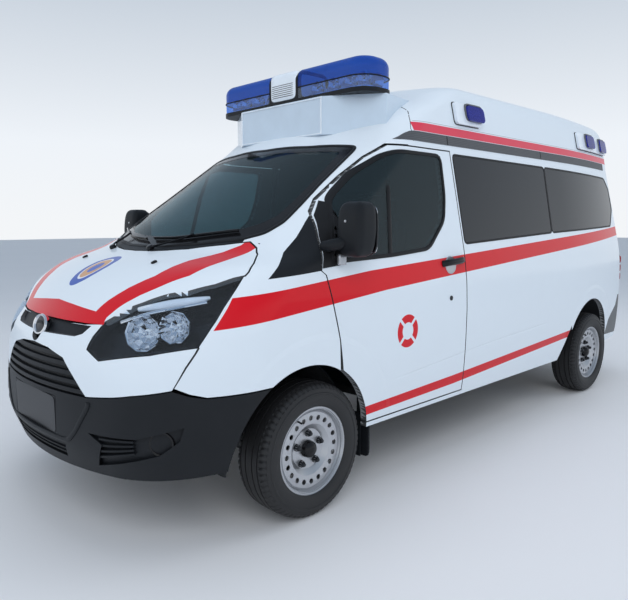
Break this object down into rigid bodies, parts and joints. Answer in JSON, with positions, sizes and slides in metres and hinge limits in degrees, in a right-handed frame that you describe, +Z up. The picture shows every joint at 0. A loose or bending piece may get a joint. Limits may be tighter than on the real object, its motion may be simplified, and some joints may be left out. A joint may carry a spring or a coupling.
{
  "type": "ambulance van",
  "caption": "High-roof ambulance van with hinged cab, rear and bonnet doors, steered front wheels, blank roof sign and lamp bar.",
  "frame": {"origin": "on the ground below the middle of the van", "axes": "+X forward, +Y to the van's left, +Z up"},
  "size_m": [5.2925, 2.272, 2.3879],
  "materials": {
    "paint_white": "gloss",
    "black_plastic": "matte",
    "grey_plastic": "satin",
    "underbody_steel": "satin",
    "screen_glass": "gloss",
    "dark_glass": "gloss",
    "lamp_clear": "gloss",
    "lamp_inner": "polished",
    "lamp_red": "gloss",
    "lens_blue": "gloss",
    "wheel_silver": "satin",
    "tyre": "matte",
    "seat_cloth": "matte",
    "cab_trim": "satin",
    "plate_blank": "satin",
    "engine_metal": "satin",
    "stretcher_pad": "satin",
    "sign_white": "gloss",
    "glass_side": "gloss"
  },
  "bodies": {
    "body": {"front_fascia": "paint_white", "grille": "black_plastic", "headlamp_lenses": "lamp_clear", "front_bumper": "black_plastic", "front_plate": "plate_blank", "front_lamp_housings": "lamp_inner", "cowl_panel": "black_plastic", "front_fenders": "paint_white", "sail_panels": "black_plastic", "windscreen_glass": "screen_glass", "cab_frame": "paint_white", "body_side_left": "paint_white", "body_side_right": "paint_white", "sliding_door": "paint_white", "side_window_glass": "dark_glass", "tail_frame": "paint_white", "tail_lamps": "lamp_red", "rear_bumper": "grey_plastic", "roof_front_cap": "paint_white", "high_roof": "paint_white", "roof_sign": "sign_white", "roof_lamp_pods": "paint_white", "roof_lamp_lenses": "lens_blue", "light_bar_base": "black_plastic", "light_bar_domes": "lens_blue", "chassis": "underbody_steel", "rear_axle": "underbody_steel", "engine_block": "engine_metal", "fuel_tank": "underbody_steel", "exhaust": "underbody_steel", "front_structure": "underbody_steel", "front_wheel_liners": "black_plastic", "rear_wheel_liners": "black_plastic", "floor": "underbody_steel", "partition": "cab_trim", "dashboard": "cab_trim", "steering_wheel": "cab_trim", "front_seats": "seat_cloth", "stretcher": "stretcher_pad"},
    "wheel_fl": {"rim_fl": "wheel_silver", "tyre_fl": "tyre"},
    "wheel_fr": {"rim_fr": "wheel_silver", "tyre_fr": "tyre"},
    "wheel_rl": {"rim_rl": "wheel_silver", "tyre_rl": "tyre"},
    "wheel_rr": {"rim_rr": "wheel_silver", "tyre_rr": "tyre"},
    "knuckle_l": {"knuckle_left": "underbody_steel"},
    "knuckle_r": {"knuckle_right": "underbody_steel"},
    "door_l": {"door_panel_left": "paint_white", "door_glass_left": "glass_side", "mirror_left": "black_plastic"},
    "door_r": {"door_panel_right": "paint_white", "door_glass_right": "glass_side", "mirror_right": "black_plastic"},
    "rear_door_l": {"rear_door_left": "paint_white", "rear_glass_left": "dark_glass"},
    "rear_door_r": {"rear_door_right": "paint_white", "rear_glass_right": "dark_glass"},
    "bonnet": {"bonnet_panel": "paint_white"}
  },
  "joints": [
    {"name": "steer_left", "type": "hinge", "parent": "body", "child": "knuckle_l", "pos_m": [1.68, 0.8, 0.215], "axis": [0, -0.1933, 0.9811], "range_deg": [-35, 35]},
    {"name": "steer_right", "type": "hinge", "parent": "body", "child": "knuckle_r", "pos_m": [1.68, -0.8, 0.215], "axis": [0, 0.1933, 0.9811], "range_deg": [-35, 35]},
    {"name": "spin_fl", "type": "hinge", "parent": "knuckle_l", "child": "wheel_fl", "pos_m": [1.68, 0.868, 0.335], "axis": [0, 1, 0], "continuous": true},
    {"name": "spin_fr", "type": "hinge", "parent": "knuckle_r", "child": "wheel_fr", "pos_m": [1.68, -0.868, 0.335], "axis": [0, 1, 0], "continuous": true},
    {"name": "spin_rl", "type": "hinge", "parent": "body", "child": "wheel_rl", "pos_m": [-1.62, 0.868, 0.335], "axis": [0, 1, 0], "continuous": true},
    {"name": "spin_rr", "type": "hinge", "parent": "body", "child": "wheel_rr", "pos_m": [-1.62, -0.868, 0.335], "axis": [0, 1, 0], "continuous": true},
    {"name": "door_left_hinge", "type": "hinge", "parent": "body", "child": "door_l", "pos_m": [1.5, 0.958, 0.98], "axis": [0, 0, -1], "range_deg": [0, 65]},
    {"name": "door_right_hinge", "type": "hinge", "parent": "body", "child": "door_r", "pos_m": [1.5, -0.958, 0.98], "axis": [0, 0, 1], "range_deg": [0, 65]},
    {"name": "rear_door_left_hinge", "type": "hinge", "parent": "body", "child": "rear_door_l", "pos_m": [-2.612, 0.712, 0.99], "axis": [0, 0, -1], "range_deg": [0, 90]},
    {"name": "rear_door_right_hinge", "type": "hinge", "parent": "body", "child": "rear_door_r", "pos_m": [-2.612, -0.712, 0.99], "axis": [0, 0, 1], "range_deg": [0, 90]},
    {"name": "bonnet_hinge", "type": "hinge", "parent": "body", "child": "bonnet", "pos_m": [1.8, 0, 1.335], "axis": [0, -1, 0], "range_deg": [0, 50]}
  ],
  "couplings": [
    {"joint": "steer_right", "follows": "steer_left", "ratio": 1}
  ]
}
